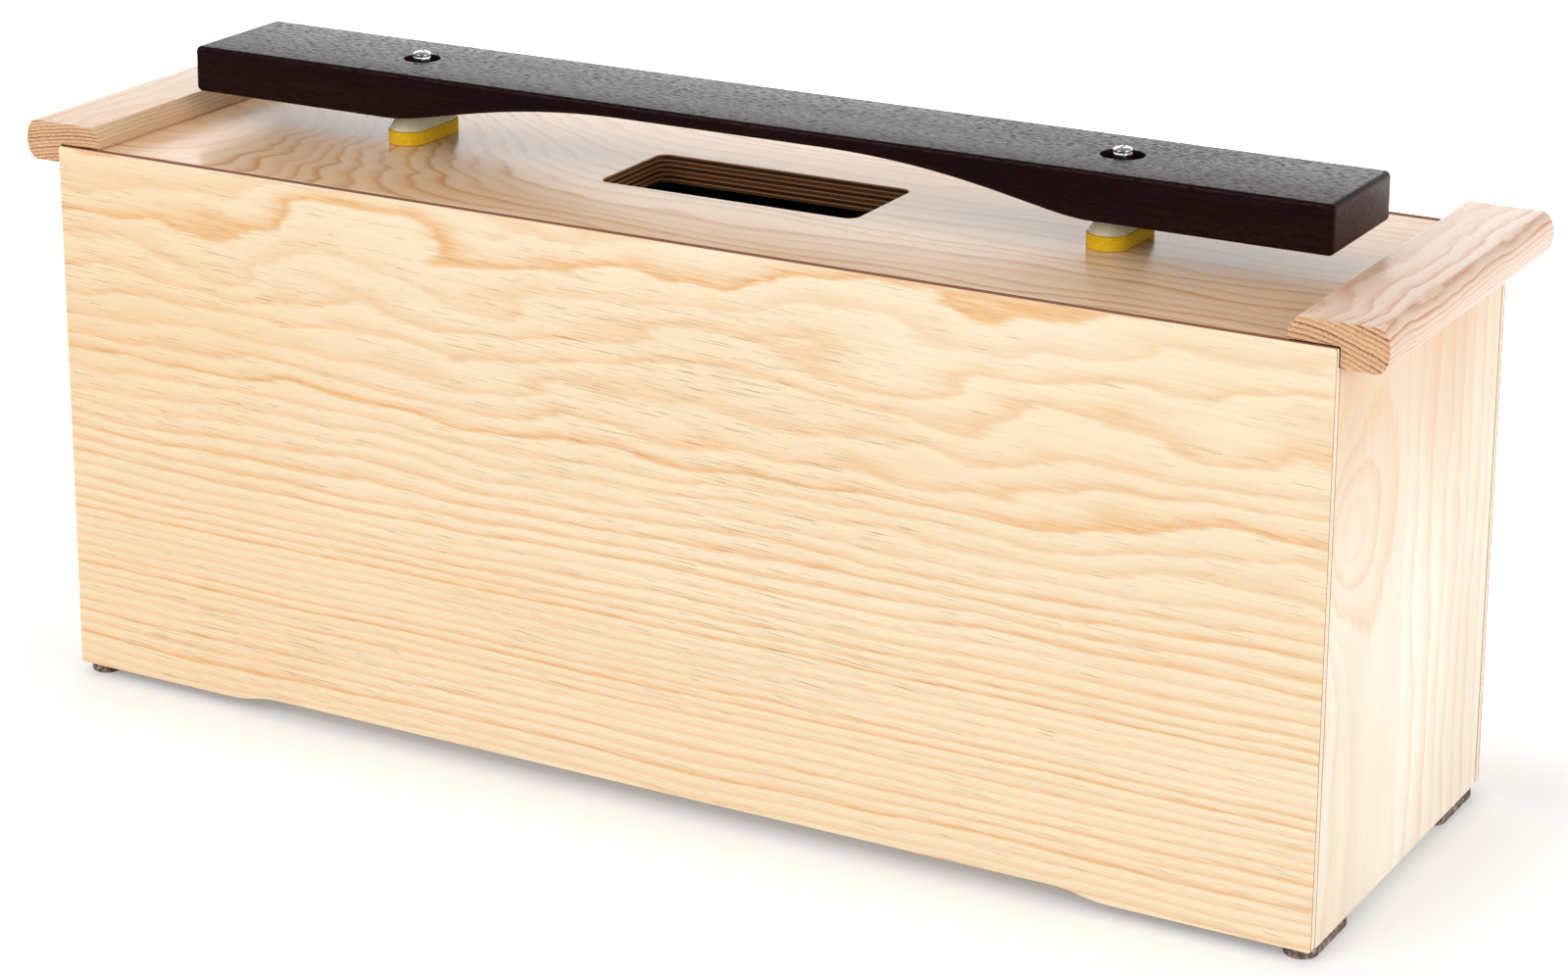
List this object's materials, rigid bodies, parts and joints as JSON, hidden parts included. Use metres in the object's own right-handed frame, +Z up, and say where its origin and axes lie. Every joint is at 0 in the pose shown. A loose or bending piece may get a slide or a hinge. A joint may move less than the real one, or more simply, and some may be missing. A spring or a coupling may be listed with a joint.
{
  "type": "resonator bar",
  "caption": "Deep tone bar of dark hardwood resting on two posts above its own pine resonator box, with a sound hole, wooden end rails for carrying and felt feet.",
  "frame": {"origin": "on the floor under the middle of the box", "axes": "+X along the tone bar towards the right handle, -Y towards the front panel, +Z up"},
  "size_m": [0.6822, 0.2036, 0.3076],
  "materials": {
    "pine_ply": "pine-faced plywood, satin lacquer",
    "pine_end": "pale pine, satin lacquer",
    "handle_pine": "solid pine, satin lacquer",
    "top_ply": "pine-faced plywood, semi-gloss lacquer, dark stained edge",
    "inner_wood": "planed pine, raw",
    "dowel_wood": "turned beech, raw",
    "tone_wood": "dark rosewood, fine open grain, oiled",
    "chrome": "polished plating",
    "pad_felt": "pressed wool felt, yellow",
    "rest_rubber": "soft moulded rubber, cream, matte",
    "foot_felt": "pressed felt, grey-brown speckled"
  },
  "bodies": {
    "box": {"front_panel": "pine_ply", "rear_panel": "pine_ply", "bottom_board": "pine_ply", "left_end_panel": "pine_end", "right_end_panel": "pine_end", "left_handle": "handle_pine", "right_handle": "handle_pine", "top_board": "top_ply", "front_batten": "inner_wood", "rear_batten": "inner_wood", "left_batten": "inner_wood", "right_batten": "inner_wood", "left_post_block": "inner_wood", "right_post_block": "inner_wood", "left_dowel_1": "dowel_wood", "left_dowel_2": "dowel_wood", "left_dowel_3": "dowel_wood", "right_dowel_1": "dowel_wood", "right_dowel_2": "dowel_wood", "right_dowel_3": "dowel_wood", "front_left_foot": "foot_felt", "front_right_foot": "foot_felt", "rear_left_foot": "foot_felt", "rear_right_foot": "foot_felt", "left_felt_pad": "pad_felt", "right_felt_pad": "pad_felt", "left_bar_rest": "rest_rubber", "right_bar_rest": "rest_rubber", "left_post_spacer": "chrome", "right_post_spacer": "chrome", "left_post_screw": "chrome", "right_post_screw": "chrome"},
    "bar": {"tone_bar": "tone_wood"}
  },
  "joints": [
    {"name": "bar_lift", "type": "slide", "parent": "box", "child": "bar", "axis": [0, 0, 1], "range_m": [0, 0.03]}
  ]
}
